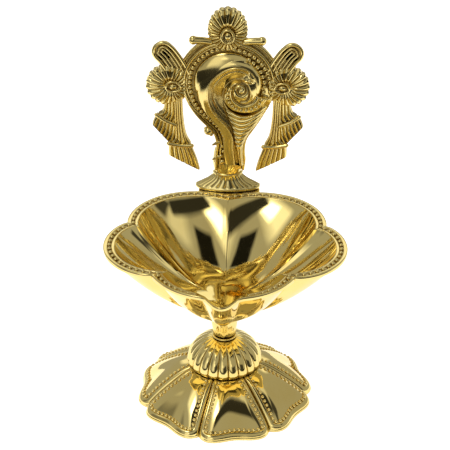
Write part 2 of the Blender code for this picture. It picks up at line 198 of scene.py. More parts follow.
def curve(points, count=60):
    """Evenly spaced points on a smooth curve through the given ones."""
    points = np.array(points, float)
    padded = np.vstack([2 * points[0] - points[1], points, 2 * points[-1] - points[-2]])
    t = np.linspace(0, 1, 24, endpoint=False)[:, None]
    fine = []
    for a, b, c, d in zip(padded, padded[1:], padded[2:], padded[3:]):
        fine.append(0.5 * (2 * b + (c - a) * t + (2 * a - 5 * b + 4 * c - d) * t**2
                           + (3 * b - a - 3 * c + d) * t**3))
    return spaced(np.vstack(fine + [points[-1:]]), count)


def softened(path, passes):
    """A path with its corners rounded off."""
    path = path.copy()
    for _ in range(passes):
        path[1:-1] = (path[:-2] + 2 * path[1:-1] + path[2:]) / 4
    return path


def ramp(low, high, value):
    """A smooth step from 0 at low to 1 at high."""
    share = np.clip((value - low) / (high - low), 0, 1)
    return share * share * (3 - 2 * share)


def groove(distance, width):
    """1 on a line, falling smoothly to 0 beside it."""
    return np.exp(-((distance / width) ** 2))


def half_round(place):
    """The height of a half circle, where place goes from -1 to 1."""
    return np.sqrt(np.clip(1 - place**2, 0, 1))


def rounded_least(first, second, blend):
    return -blend * np.log(np.exp(-first / blend) + np.exp(-second / blend))


# --- Meshes ---


def outward(points, faces, first):
    """The faces with their numbers raised by first, and turned round if they enclose less than nothing."""
    groups = [[face for face in faces if len(face) == size] for size in (4, 3)]
    groups = [np.array(group) for group in groups if group]
    volume = 0.0
    for group in groups:
        for i in range(1, group.shape[1] - 1):
            a, b, c = (points[group[:, place]] for place in (0, i, i + 1))
            volume += np.einsum("ij,ij->", a, np.cross(b, c))
    turn = -1 if volume < 0 else 1
    return [face for group in groups for face in (group[:, ::turn] + first).tolist()]


def placed(name, data):
    obj = bpy.data.objects.new(name, data)
    bpy.context.scene.collection.objects.link(obj)
    return obj


class Shape:
    """Points and faces gathered into one mesh. Each point's darkening, from 0 to 1, gives its metal patina
    and painted shade.
    """

    def __init__(self):
        self.points = []
        self.faces = []
        self.shades_and_patina = []
        self.count = 0

    def sheet(self, rows, ring=False, shade_and_patina=0.0):
        """A closed surface through rows of points, each row a loop. With ring the last row joins the
        first, and otherwise the end rows close on their middles."""
        high, wide = rows.shape[:2]
        row, column = np.meshgrid(np.arange(high if ring else high - 1), np.arange(wide), indexing="ij")
        above, beside = (row + 1) % high, (column + 1) % wide
        corners = [row * wide + column, row * wide + beside, above * wide + beside, above * wide + column]
        faces = np.stack(corners, -1).reshape(-1, 4).tolist()
        points = rows.reshape(-1, 3)
        shade_and_patina = np.broadcast_to(shade_and_patina, (high, wide)).ravel()
        for index in () if ring else (0, high - 1):
            points = np.vstack([points, rows[index].mean(axis=0)])
            shade_and_patina = np.append(shade_and_patina, shade_and_patina[index * wide])
            for i in range(wide):
                pair = [index * wide + i, index * wide + (i + 1) % wide]
                faces.append([*(pair if index else pair[::-1]), len(points) - 1])
        self.points.append(points)
        self.shades_and_patina.append(shade_and_patina)
        self.faces += outward(points, faces, self.count)
        self.count += len(points)

    def tube(self, path, radius, up=(0, -1, 0), sides=10, closed=False):
        """A round rod along a path. An open one has rounded ends."""
        steps = np.roll(path, -1, axis=0) - np.roll(path, 1, axis=0)
        tangent = unit(steps if closed else np.gradient(path, axis=0))
        side = unit(np.cross(tangent, np.broadcast_to(up, path.shape)))
        over = np.cross(side, tangent)
        radius = np.broadcast_to(radius, len(path))
        if not closed:
            start = path[:1] - tangent[:1] * radius[0] * 0.7
            end = path[-1:] + tangent[-1:] * radius[-1] * 0.7
            path = np.vstack([start, path, end])
            radius = np.concatenate([radius[:1] * 0.45, radius, radius[-1:] * 0.45])
            side, over = (np.vstack([rows[:1], rows, rows[-1:]]) for rows in (side, over))
        angle = full_turn(sides)[:, None]
        circle = side[:, None] * np.cos(angle) + over[:, None] * np.sin(angle)
        self.sheet(path[:, None] + circle * radius[:, None, None], ring=closed)

    def bead(self, centre, radius, stretch=(1, 1, 1), sides=12, levels=7):
        level = np.linspace(0, pi, levels + 2)[1:-1, None]
        angle = full_turn(sides)
        ball = points_at(np.sin(level) * np.cos(angle), np.sin(level) * np.sin(angle), -np.cos(level))
        self.sheet(centre + ball * radius * stretch)

    def piece(self, name, finish="relief_brass", body="bowl", sharp=60, replaces=None):
        """Makes the mesh and rides it on its body. Edges over the sharp angle aren't shaded smooth."""
        mesh = bpy.data.meshes.new(name)
        mesh.from_pydata((np.vstack(self.points) * MM).tolist(), [], self.faces)
        shade_and_patina = mesh.attributes.new("shade_and_patina", "FLOAT", "POINT")
        shade_and_patina.data.foreach_set("value", np.concatenate(self.shades_and_patina).astype(np.float32))
        mesh.materials.append(METALS[finish])
        mesh.shade_smooth()
        mesh.set_sharp_from_angle(angle=radians(sharp))
        obj = placed(name, mesh)
        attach(obj, body)
        if replaces:
            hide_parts(replaces)


# --- Materials ---


def feed(tree, node, inputs):
    """Gives a node's inputs, by name or number, a value or another node's output."""
    for key, value in inputs.items():
        if isinstance(value, bpy.types.NodeSocket):
            tree.links.new(value, node.inputs[key])
        else:
            node.inputs[key].default_value = value


def wired(tree, kind, inputs, output=0, **settings):
    """A new shader node's output. Settings are the node's own attributes."""
    node = tree.nodes.new("ShaderNode" + kind)
    for key, value in settings.items():
        setattr(node, key, value)
    feed(tree, node, inputs)
    return node.outputs[output]


def noise(tree, scale, detail=3.0, stretch=(1, 1, 1)):
    place = wired(tree, "TexCoord", {}, "Object")
    scales = [scale * share for share in stretch]
    vector = wired(tree, "Mapping", {"Vector": place, "Scale": scales})
    return wired(tree, "TexNoise", {"Vector": vector, "Scale": 1.0, "Detail": detail}, "Fac")


def spread(tree, value, low, high, to_low, to_high):
    """A value's range from low to high, stretched to another range and cut off at its ends."""
    return wired(tree, "MapRange", {"Value": value, "From Min": low, "From Max": high,
                                    "To Min": to_low, "To Max": to_high})


def mixed(tree, share, first, second):
    first, second = ((*tone, 1.0) if isinstance(tone, tuple) else tone for tone in (first, second))
    return wired(tree, "Mix", {"Factor": share, 6: first, 7: second}, 2, data_type="RGBA")


def maths(tree, operation, *values):
    return wired(tree, "Math", dict(enumerate(values)), operation=operation)


def new_material(name):
    material = bpy.data.materials.new(name)
    material.use_nodes = True
    return material, material.node_tree


def metal(name, tones, roughness, ripple, scratch):
    """A polished metal: two cloudy tones, a dark tone of patina and painted shade in its hollows and
    crevices, and fine scratches.
    """
    bright, deep, patina_and_shade_tone = tones
    material, tree = new_material(name)
    cloud = spread(tree, noise(tree, 55.0, 4.0), 0.35, 0.7, 0.0, 1.0)
    tone = mixed(tree, cloud, bright, deep)
    shade_and_patina = wired(tree, "Attribute", {}, "Fac", attribute_name="shade_and_patina")
    # Ambient occlusion darkens the crevices with painted shade
    open_share = wired(tree, "AmbientOcclusion", {"Distance": 0.0016}, "AO", samples=6)
    crevice = spread(tree, open_share, 0.75, 0.15, 0.0, 0.85)
    speckle = spread(tree, noise(tree, 900.0, 2.0), 0.4, 0.7, 0.75, 1.15)
    hollow = maths(tree, "MULTIPLY", maths(tree, "MAXIMUM", shade_and_patina, crevice), speckle)
    smears = noise(tree, 130.0, 5.0, (1, 1, 0.4))
    smear = spread(tree, smears, 0.35, 0.75, roughness * 0.6, roughness * 1.7)
    scratches = spread(tree, noise(tree, 1.0, 2.0, (2400, 160, 700)), 0.62, 0.72, 0.0, 1.0)
    fine = wired(tree, "Bump", {"Strength": 1.0, "Distance": scratch, "Height": scratches})
    waves = noise(tree, 95.0, 2.0)
    broad = wired(tree, "Bump", {"Strength": 1.0, "Distance": ripple, "Height": waves, "Normal": fine})
    feed(tree, tree.nodes["Principled BSDF"], {
        "Metallic": 1.0,
        "Base Color": mixed(tree, hollow, tone, patina_and_shade_tone),
        "Roughness": maths(tree, "MULTIPLY_ADD", hollow, 0.30, smear),
        "Normal": broad,
    })
    return material


# Tones are bright, deep, and dark for patina and painted shade
BRASS = ((0.93, 0.75, 0.29), (0.88, 0.67, 0.22), (0.26, 0.16, 0.035))
STEEL = ((0.62, 0.61, 0.60), (0.52, 0.51, 0.50), (0.12, 0.11, 0.10))
# Each finish has its tones, its roughness, and its ripples' and scratches' heights in metres
FINISHES = {
    "bowl_brass": (BRASS, 0.05, 0.00003, 0.0000010),
    "foot_brass": (BRASS, 0.06, 0.00003, 0.0000010),
    "relief_brass": (BRASS, 0.12, 0.00005, 0.0000010),
    "fastener_steel": (STEEL, 0.28, 0.00001, 0.0000030),
}
METALS = {name: metal(name, *finish) for name, finish in FINISHES.items()}


# --- Lotus foot ---


def petal_edge(place):
    """The foot's outer radius: each petal has two rounded corners and a shallow dip between. Place is
    -1 and 1 at a petal's notches, and 0 in its middle."""
    place = np.abs(place)
    dip = PETAL_EDGE + PETAL_CORNER * (1 - np.cos(pi * place / CORNER_AT)) / 2
    past_corner = (place - CORNER_AT) / (1 - CORNER_AT)
    side = PETAL_EDGE + PETAL_CORNER - PETAL_NOTCH * past_corner**2
    return np.where(place < CORNER_AT, dip, side)


def petal_radius(place, share):
    return SEAT_RADIUS + (petal_edge(place) - SEAT_RADIUS) * share


def petal_height(place, share):
    """The height of a petal's plain form, by its share of the way from the seat to the edge."""
    rise = (1 - share**PETAL_CURVE) * (1 - 0.13 * place**4 * np.sin(pi * share))
    return EDGE_HEIGHT + (SEAT_Z - EDGE_HEIGHT) * rise


def petal_relief(place, share):
    """The height of a petal's surface over its plain form, and how deep it lies in shade."""
    side = (1 - np.abs(place)) * HALF_PETAL * petal_radius(place, share)
    edge = (1 - share) * (petal_edge(place) - SEAT_RADIUS) * 1.2
    near = rounded_least(side, edge, 0.5)
    gully = 0.35 * groove(side, 0.22) * ramp(0.0, 0.12, share)
    roll = 0.55 * half_round((near - 0.95) / 0.95)
    across = np.clip((side - 3.0) / 6.0, 0, 1)
    up_petal = np.clip((edge - 3.0) / 7.0, 0, 1)
    belly = 0.45 * np.sin(across * pi / 2) * np.sin(up_petal * pi / 2) * ramp(0.0, 0.3, share)
    shade = 0.8 * groove(side, 0.18) + 0.7 * groove(near - 2.0, 0.22)
    return roll + belly - gully, np.clip(shade, 0, 1)


def petal_point(place, share, lift, turn):
    """A point on the foot's upper face. Turn is the angle of the petal's middle."""
    relief, _ = petal_relief(place, share)
    over = (relief + lift) * ramp(0.0, 0.06, share)
    slope = np.arctan(PETAL_CURVE * share ** (PETAL_CURVE - 1) * (SEAT_Z - EDGE_HEIGHT) / 20)
    height = petal_height(place, share) + over * np.cos(slope) * (1 - 0.55 * ramp(0.93, 1.0, share))
    return around(petal_radius(place, share) + over * np.sin(slope), turn + place * HALF_PETAL, height)


def foot_angles():
    """(place across its petal, petal's middle) for every column, closer together near the notches."""
    step = (np.arange(PETAL_COLUMNS) + 0.5) / PETAL_COLUMNS * 2 - 1
    place = np.sign(step) * (1 - (1 - np.abs(step)) ** 1.45)
    middle = PETAL_TURN + np.arange(PETALS) * TURN / PETALS
    return np.tile(place, PETALS), np.repeat(middle, PETAL_COLUMNS)


def make_foot():
    place, middle = foot_angles()
    angle = middle + place * HALF_PETAL
    shares = np.concatenate([np.linspace(0, 0.86, 48), np.linspace(0.87, 1.0, 22)])[:, None]
    top = petal_point(place[None], shares, 0.0, middle[None])
    shade = petal_relief(place[None], shares)[1]
    edge = petal_edge(place)
    edge_height = top[-1, :, 2]
    rolled = [around(edge + out, angle, edge_height * level)
              for out, level in ((0.22, 0.82), (0.30, 0.5), (0.22, 0.18), (0.0, 0.0), (-2.4, 0.0))]
    share = np.linspace(0.92, 0.0, 14)[:, None]
    under_radius = SEAT_RADIUS + (edge - SEAT_RADIUS - FOOT_WALL) * share
    under = around(under_radius, angle, petal_height(place, share) - FOOT_WALL)
    middle_rows = [around(radius, angle, height) for radius, height in (
        (BOSS_RADIUS + 0.5, SEAT_Z - FOOT_WALL), (BOSS_RADIUS, SEAT_Z - FOOT_WALL - 0.5),
        (BOSS_RADIUS, BOSS_Z + 0.4), (BOSS_RADIUS - 0.4, BOSS_Z), (HOLE_RADIUS, BOSS_Z),
        (HOLE_RADIUS, SEAT_Z), (SEAT_RADIUS - 0.5, SEAT_Z))]
    rows = np.concatenate([top, rolled, under, middle_rows])
    # The underside and middle are darkened with painted shade and patina, and the petals with their relief's
    # shade
    shade_and_patina = np.full(rows.shape[:2], 0.75)
    shade_and_patina[:len(top)] = shade
    shade_and_patina[len(top):len(top) + len(rolled)] = 0.0
    shape = Shape()
    shape.sheet(rows, ring=True, shade_and_patina=shade_and_patina)
    shape.piece("lotus_foot_petals", "foot_brass", "foot", replaces="lotus_foot")


def petal_bead_path():
    """The line of beads inside a petal's border: down one side, along the edge and up the other."""
    side_share = np.linspace(0.09, 1.0, 200)
    side_share = side_share[side_share < 0.885]
    side_place = 1 - BEAD_INSET / (HALF_PETAL * (SEAT_RADIUS + 19.5 * side_share))
    edge_place = np.linspace(-side_place[-1], side_place[-1], 160)
    edge_share = 1 - (BEAD_INSET - 0.1) / ((petal_edge(edge_place) - SEAT_RADIUS) * 1.2)
    places = np.concatenate([-side_place, edge_place, side_place[::-1]])
    shares = np.concatenate([side_share, edge_share, side_share[::-1]])
    petal_size = (14.0, 22.0)
    path = np.stack([places, shares], -1) * petal_size
    return softened(spaced(path, 400), 60) / petal_size


def make_foot_beads():
    shape = Shape()
    flat_path = petal_bead_path()
    for petal in range(PETALS):
        path = petal_point(*flat_path.T, 0.12, PETAL_TURN + petal * TURN / PETALS)
        for centre in spaced(path, round(path_length(path) / BEAD_PITCH)):
            shape.bead(centre, 0.62)
    shape.piece("foot_beading", "foot_brass", "foot", sharp=40)


# --- Dome and neck ring ---


def dome_radius(share):
    """The dome's radius at a share of its height, from its belly to its neck."""
    return DOME_NECK + (DOME_RADIUS - DOME_NECK) * (1 - share**2.2) ** 0.66


def make_dome():
    angle = full_turn(RIBS * 24)
    share = np.concatenate([np.linspace(0, 0.06, 7), np.linspace(0.08, 1, 54)])[:, None]
    rib = np.abs(np.cos(RIBS * angle / 2))[None] ** 0.55
    fade = ramp(-0.2, 0.25, share) * (1 - 0.55 * ramp(0.7, 1.0, share))
    tuck = 0.07 * (1 - np.clip(share / 0.16, 0, 1)) ** 1.5
    radius = dome_radius(share) * (1 - RIB_DEPTH * fade * (1 - rib) - tuck)
    outer = around(radius, angle, DOME_Z + (DOME_TOP - DOME_Z) * share)
    inner = [around(ring, angle, level) for ring, level in (
        (HOLE_RADIUS, DOME_TOP), (HOLE_RADIUS, DOME_TOP - 1.8), (8.0, DOME_TOP - 4.0),
        (10.6, DOME_Z + 3.0), (11.4, DOME_Z), (12.6, DOME_Z))]
    rows = np.concatenate([outer, inner])
    # The valleys between the ribs and the dome's inside are darkened with painted shade and patina
    shade_and_patina = np.full(rows.shape[:2], 0.8)
    shade_and_patina[:len(share)] = np.clip(1.1 - rib * 2.2, 0, 1) * fade
    shape = Shape()
    shape.sheet(rows, ring=True, shade_and_patina=shade_and_patina)
    shape.piece("ribbed_dome_fluted", "foot_brass", "foot", sharp=50, replaces="ribbed_dome")


def turned(profile):
    """A turned ring round the lamp's axis through (radius, height) points."""
    angle = full_turn(72)
    shape = Shape()
    shape.sheet(np.stack([around(radius, angle, height) for radius, height in profile]), ring=True)
    return shape


def make_neck_ring():
    """A ring with a half-round outer edge."""
    middle, half = (RING_Z + RING_TOP) / 2, (RING_TOP - RING_Z) / 2
    edge = [(RING_RADIUS - half + half * cos(turn), middle + half * sin(turn))
            for turn in np.linspace(-pi / 2, pi / 2, 8)]
    shape = turned([(HOLE_RADIUS, RING_Z), *edge, (HOLE_RADIUS, RING_TOP)])
    shape.piece("neck_ring_rounded", "bowl_brass", "neck_ring", sharp=40, replaces="neck_ring")


# --- Stud, washer and nut ---


def make_stud():
    """A threaded stud, whose thread is a helical wave on a rod."""
    low, high = heights("foot_stud")
    angle = full_turn(48)
    height = np.linspace(low, high, int((high - low) / THREAD_PITCH * 14))[:, None]
    phase = (height / THREAD_PITCH - angle / TURN) % 1
    crest = np.clip(np.abs(phase * 2 - 1) * 1.5 - 0.25, 0, 1)
    taper = 0.5 * (1 - ramp(0, 0.6, height - low)) + 0.5 * (1 - ramp(0, 0.6, high - height))
    radius = corner("foot_stud", 1).x - THREAD_DEPTH * (1 - crest) - taper * 0.9
    shape = Shape()
    # The thread's roots are darkened with painted shade and patina
    shape.sheet(around(radius, angle, height), shade_and_patina=0.7 * (1 - crest))
    shape.piece("threaded_stud", "fastener_steel", "foot", replaces="foot_stud")


def make_washer():
    low, high = heights("foot_washer")
    radius = corner("foot_washer", 1).x
    edge = 0.2
    shape = turned([(HOLE_RADIUS, low), (radius - edge, low), (radius, low + edge), (radius, high - edge),
                    (radius - edge, high), (HOLE_RADIUS, high)])
    shape.piece("plain_washer", "fastener_steel", "foot", sharp=30, replaces="foot_washer")


def make_nut():
    """A hexagon nut with chamfered corners."""
    low, high = heights("foot_nut")
    size = corner("foot_nut", 1) - corner("foot_nut", 0)
    half_flats = min(size.x, size.y) / 2
    angle = full_turn(96)
    face = pi / 3
    hexagon = half_flats / np.cos((angle + face / 2) % face - face / 2)
    chamfer = half_flats * 1.03
    rows = [around(np.minimum(hexagon, limit), angle, height) for limit, height in (
        (HOLE_RADIUS, low), (chamfer, low), (chamfer * 1.13, low + 0.45), (chamfer * 1.13, high - 0.45),
        (chamfer, high), (HOLE_RADIUS, high))]
    shape = Shape()
    shape.sheet(np.stack(rows), ring=True)
    shape.piece("hexagon_nut", "fastener_steel", "foot", sharp=25, replaces="foot_nut")


# --- Bowl ---


def lobe_radius(angle):
    """The rim's distance from the axis, without the spout."""
    away = np.abs(from_spout(angle))
    radius = np.zeros_like(away)
    for start, end, (bulge, skew, roundness) in (
            (BACK_CUSP, SIDE_CUSP, BACK_BULGE), (SIDE_CUSP, FRONT_CUSP, SIDE_BULGE),
            (FRONT_CUSP, FRONT_MIDDLE, FRONT_BULGE)):
        place = np.clip((start[0] - away) / (start[0] - end[0]), 0, 1)
        line = start[1] + (end[1] - start[1]) * place
        lobe = line + bulge * np.clip(np.sin(pi * place**skew), 0, 1) ** roundness
        inside = (away <= start[0] + TINY) & (away >= end[0] - TINY)
        radius = np.where(inside, lobe, radius)
    return radius


def outer_radius(angle):
    """The rim's distance from the axis: the lobes, with a spout like a parabola blended in."""
    lobes = lobe_radius(angle)
    ahead = np.cos(angle)
    spread_out = 4 * SPOUT_SHARPNESS * SPOUT_TIP * np.sin(angle) ** 2
    spout = 2 * SPOUT_TIP / np.maximum(ahead + np.sqrt(ahead**2 + spread_out), TINY)
    gap = np.where(ahead > 0, (spout - lobes) / SPOUT_BLEND, -30)
    return lobes + SPOUT_BLEND * np.log1p(np.exp(np.clip(gap, -30, 30)))


def rim_radius(angle, inset):
    """The rim's outline, moved inwards by a distance measured square to it."""
    radius = outer_radius(angle)
    step = radians(1.5)
    slopes = [np.abs(outer_radius(angle + turn) - radius) / step / radius for turn in (-step, step)]
    return radius - inset * np.sqrt(1 + np.minimum(np.maximum(*slopes), 1.2) ** 2)


def flange_width(angle):
    """The rim's width, which narrows to a thin lip at the spout."""
    away = np.degrees(np.abs(from_spout(angle)))
    front = LIP_WIDTH + (FRONT_RIM_WIDTH - LIP_WIDTH) * ramp(10, 24, away)
    return front + (RIM_WIDTH - FRONT_RIM_WIDTH) * ramp(24, 75, away)


def bowl_angles():
    """Angles round the rim, with one on each corner between two lobes, and closer at the spout."""
    corners = [BACK_CUSP[0], SIDE_CUSP[0], FRONT_CUSP[0], radians(24), 0.0]
    half = []
    for start, end, steps in zip(corners, corners[1:], (92, 92, 60, 76)):
        half.append(np.linspace(start, end, steps, endpoint=False))
    half = np.concatenate(half)
    return np.concatenate([half, [0.0], -half[:0:-1]])


def stem_radius(radius, angle):
    """A round stem with a soft keel at the front, which runs up into the spout."""
    return radius * (1 + KEEL * groove(from_spout(angle), KEEL_ANGLE))


def outer_wall(share, stem_top, angle):
    """A level of the bowl's outside, from the stem (share 0) to the rim (share 1)."""
    inset = OUTER_INSET * flange_width(angle) / RIM_WIDTH
    radius = stem_top + (rim_radius(angle, inset) - stem_top) * share
    return around(radius, angle, STEM_TOP_Z + (RIM_Z - RIM_THICKNESS - STEM_TOP_Z) * share**BOWL_CURVE)


def inner_rise(share):
    """The inside's height at a share of the way to the rim: nearly flat, then steep, then steeper."""
    fine = np.linspace(0, 1, 400)
    slope = 1 - np.exp(-((np.clip(fine - 0.18, 0, None) / 0.42) ** 1.1))
    slope = slope + 0.15 * fine**5 + 0.35 * fine**16
    return np.interp(share, fine, np.cumsum(slope) / slope.sum())


def inner_wall(share, angle):
    """A level of the bowl's inside, from its middle (share 0) to the rim (share 1)."""
    radius = rim_radius(angle, flange_width(angle)) * share
    return around(radius, angle, FLOOR_Z + (RIM_Z - 0.15 - FLOOR_Z) * inner_rise(share))


def make_bowl():
    angle = bowl_angles()
    width = flange_width(angle)
    bore_top = STEM_Z + BORE_DEPTH
    rows = [around(radius, angle, height) for radius, height in (
        (0.8, bore_top), (BORE_RADIUS, bore_top), (BORE_RADIUS, STEM_Z + 0.3), (BORE_RADIUS + 0.3, STEM_Z),
        (STEM_RADIUS - 0.4, STEM_Z), (STEM_RADIUS - 0.05, STEM_Z + 0.25))]
    stem_low, stem_top = stem_radius(STEM_RADIUS, angle), stem_radius(STEM_TOP_RADIUS, angle)
    for share in np.linspace(0, 1, 18)[:-1]:
        radius = stem_low + (stem_top - stem_low) * share
        rows.append(around(radius, angle, STEM_Z + 0.6 + (STEM_TOP_Z - STEM_Z - 0.6) * share))
    rows += [outer_wall(share, stem_top, angle) for share in np.linspace(0, 1, 44)]
    for inset, drop in ((0.12, -RIM_THICKNESS), (0.0, -RIM_THICKNESS * 0.7), (0.0, -0.35), (0.10, -0.12),
                        (0.32, 0.0)):
        rows.append(around(rim_radius(angle, inset), angle, RIM_Z + drop))
    channel = ramp(0.3, 0.9, (width - LIP_WIDTH) / (RIM_WIDTH - LIP_WIDTH))
    for share, dip in ((0.33, 0.0), (0.37, 0.12), (0.41, 0.34), (0.49, 0.42), (0.60, 0.42), (0.68, 0.34),
                       (0.72, 0.12), (0.76, 0.0), (0.90, 0.02), (0.96, 0.08)):
        rows.append(around(rim_radius(angle, width * share), angle, RIM_Z - dip * channel))
    flange_rows = len(rows)
    rows += [inner_wall(sin(turn * pi / 2), angle) for turn in np.linspace(0.99, 0.02, 60)]
    rows = np.stack(rows)
    shade_and_patina = np.zeros(rows.shape[:2])
    # The bore and the rim's channel are darkened with painted shade and patina
    shade_and_patina[:5] = 0.9
    shade_and_patina[flange_rows - 9:flange_rows - 3] = 0.55 * channel
    shape = Shape()
    shape.sheet(rows, shade_and_patina=shade_and_patina)
    shape.piece("bowl_shell", "bowl_brass", sharp=38, replaces="oil_bowl")


def make_rim_beads():
    """The row of beads in the rim's channel, which gets smaller and ends before the spout."""
    shape = Shape()
    fine = np.linspace(radians(21), TURN - radians(21), 3000)
    line = softened(around(rim_radius(fine, flange_width(fine) * 0.545), fine, RIM_Z - 0.10), 30)
    for centre in spaced(line, round(path_length(line) / RIM_BEAD_PITCH)):
        away = abs(atan2(centre[0], AXIS_Y - centre[1]))
        size = RIM_BEAD * (0.45 + 0.55 * float(ramp(radians(20), radians(42), away)))
        shape.bead(centre, size, stretch=(1, 1, 0.85))
    shape.piece("rim_beading", "bowl_brass", sharp=40)


# --- Emblem's reliefs ---


def at(value, *places):
    """A number as it is, or a function's value at some places."""
    return value(*places) if callable(value) else value


def polar_relief(shape, centre, reach, front, rows=24, columns=180, back=-1.6, shade_and_patina=0.0):
    """A closed relief round a centre. Its radius (reach) goes by the angle, where 0 is up and +X comes next.
    Its height, and its darkening with patina and painted shade, go by the share of the way out and the
    angle."""
    angle = full_turn(columns)[None]
    share = np.linspace(1, 0, rows)[:-1, None]
    radius = at(reach, angle) * share
    across, up = centre[0] + radius * np.sin(angle), centre[1] + radius * np.cos(angle)
    face = on_emblem(across, up, at(front, share, angle))
    wall = on_emblem(across[:1], up[:1], back)
    shade = np.broadcast_to(at(shade_and_patina, share, angle), across.shape)
    shape.sheet(np.concatenate([wall, face]),
                shade_and_patina=np.pad(shade, ((1, 0), (0, 0)), constant_values=BACK_SHADE))


def backed(shape, across, up, front, back, shade_and_patina):
    """A closed relief over rows of places, with a flat back."""
    face = on_emblem(across, up, front)
    behind = on_emblem(across[:, [-1, 0]], up[:, [-1, 0]], back)
    shade = np.broadcast_to(shade_and_patina, across.shape)
    shape.sheet(np.concatenate([face, behind], axis=1),
                shade_and_patina=np.pad(shade, ((0, 0), (0, 2)), constant_values=BACK_SHADE))


def ribbon_relief(shape, left, right, front, columns=40, back=-1.4, shade_and_patina=0.0):
    """A closed relief between two paths. Its height, and its darkening with patina and painted shade, go by
    the share of the way across.
    """
    share = np.linspace(0, 1, columns)
    flat = left[:, None] * (1 - share[:, None]) + right[:, None] * share[:, None]
    backed(shape, flat[..., 0], flat[..., 1], at(front, share), back, at(shade_and_patina, share))


def flat_points(path, front):
    """A path of (across, up) points on the emblem, at a height over the plate."""
    return on_emblem(path[:, 0], path[:, 1], front)


def mirrored(points, side=1, count=40):
    """A curve on the emblem's right side, or on its left when side is -1."""
    return curve([(across * side, up) for across, up in points], count)


def rod(shape, points, front, thick, side=1, count=40):
    shape.tube(flat_points(mirrored(points, side, count), front), thick)


def circle_path(centre, radius, start, end, count):
    """An arc on the emblem. Angles are in degrees, 0 is up and they grow towards +X."""
    angle = np.radians(np.linspace(start, end, count))
    return np.stack([centre[0] + radius * np.sin(angle), centre[1] + radius * np.cos(angle)], -1)


# --- Conch ---

# Its lines, as (across, up). The lip runs from the whorl's right side over the top, and down the left side
# to the tail. The rim and coil are the grooves on both sides of the whorl's beads, darkened with painted
# shade.
LIP = [(10.7, 44.6), (11.2, 47.4), (10.8, 50.1), (9.6, 52.3), (7.2, 54.3), (4.4, 55.0), (1.5, 54.7),
       (-1.8, 53.2), (-5.2, 50.2), (-7.3, 46.5), (-7.5, 42.0), (-6.2, 37.3), (-3.6, 33.1), (0.0, 28.6),
       (1.8, 24.0), (2.1, 18.0), (2.8, 12.0)]
LIP_LEFT = LIP[8:]
LIP_HOOK = 0.09
WHORL_SIDE = [(1.9, 49.0), (-0.5, 46.5), (-1.7, 43.2), (-1.5, 39.8), (1.0, 36.4), (4.8, 34.7), (8.4, 34.7),
              (11.4, 35.8), (13.7, 37.9), (15.2, 40.4)]
WHORL_RIM = [(5.4, 40.9), (7.2, 41.5), (8.2, 43.4), (8.2, 45.6), (7.2, 47.9), (4.7, 49.2)] + WHORL_SIDE
WHORL_EDGE = [(11.4, 49.8), (9.2, 49.4), (7.0, 49.4), (4.7, 49.6)] + WHORL_SIDE
WHORL_COIL = [(11.7, 48.6), (11.5, 45.5), (10.6, 41.9), (8.4, 39.7), (5.6, 39.2), (3.3, 40.9), (2.1, 43.0),
              (1.9, 45.6), (3.0, 47.8), (5.2, 48.3), (6.9, 47.2), (6.9, 45.3), (5.6, 44.2), (4.2, 44.8),
              (3.9, 46.2), (4.9, 46.9)]
WHORL_BEADS = [(1.0, 46.4), (0.2, 44.2), (0.4, 41.8), (1.5, 39.5), (3.2, 37.7), (5.6, 36.9), (8.3, 37.1),
               (10.4, 38.1), (12.2, 39.8), (13.2, 41.6)]
INNER_BEADS = [(13.7, 43.6), (14.0, 46.0), (13.7, 48.8), (12.6, 52.0), (10.8, 54.8), (8.0, 57.4)]
RING_BEADS = [(15.7, 41.3), (16.2, 44.0), (16.2, 46.8), (15.7, 49.5), (14.2, 53.2), (11.3, 57.0),
              (7.2, 59.9), (1.4, 61.7), (-4.4, 61.1), (-9.4, 58.2), (-12.6, 54.4), (-14.2, 50.0),
              (-14.4, 45.4), (-13.5, 41.1)]
TAIL_BEADS = [(-13.0, 39.6), (-11.5, 36.8), (-9.3, 34.1), (-6.7, 31.3), (-3.9, 28.4), (-2.0, 25.4),
              (-0.7, 22.0), (0.0, 18.6), (0.4, 14.6)]
TAIL_LEFT = [(-1.8, 36.6), (0.7, 29.3), (1.6, 25.6), (2.3, 21.9), (3.2, 17.6), (4.2, 12.0)]
TAIL_RIGHT = [(15.8, 37.6), (11.3, 29.5), (8.8, 26.2), (7.2, 23.3), (6.2, 20.5), (6.0, 17.2), (6.3, 12.0)]
CONCH_RIGHT = [(13.0, 50.0), (14.8, 46.0), (15.9, 43.0), (16.3, 40.5)] + TAIL_RIGHT
CONCH_BORDER = [(18.0, 36.0), (17.6, 40.6), (14.0, 42.0), (11.8, 42.7)] + LIP
LEFT_EDGE = [(-16.4, 42.0), (-15.6, 40.2), (-14.0, 36.6), (-11.3, 32.5), (-8.2, 29.0), (-5.5, 26.2),
             (-4.3, 23.0), (-3.8, 20.0), (-4.2, 16.5), (-4.5, 9.1)]
RIGHT_EDGE = [(17.2, 42.0), (16.7, 40.4), (15.2, 37.2), (12.3, 31.6), (9.2, 26.5), (7.2, 23.2), (6.4, 20.3),
              (6.2, 17.0), (6.5, 13.7), (6.0, 9.1)]


def beside(points, count, across, up):
    """How far each place lies to the left of a curve, and its nearest point's share of the curve."""
    path = curve(points, count)
    places = np.stack([across.ravel(), up.ravel()], -1)
    away = places[:, None] - path[None]
    nearest = np.einsum("ijk,ijk->ij", away, away).argmin(axis=1)
    ahead = unit(np.gradient(path, axis=0))[nearest]
    away = away[np.arange(len(places)), nearest]
    left = away[:, 1] * ahead[:, 0] - away[:, 0] * ahead[:, 1]
    past_end = (nearest == 0) | (nearest == count - 1)
    left = np.where(past_end, np.sign(left) * np.linalg.norm(away, axis=1), left)
    return left.reshape(across.shape), (nearest / (count - 1)).reshape(across.shape)


def across_at(points, up):
    """Where a line that runs downwards is at a height."""
    points = np.array(points)[::-1]
    return np.interp(up, points[:, 1], points[:, 0])


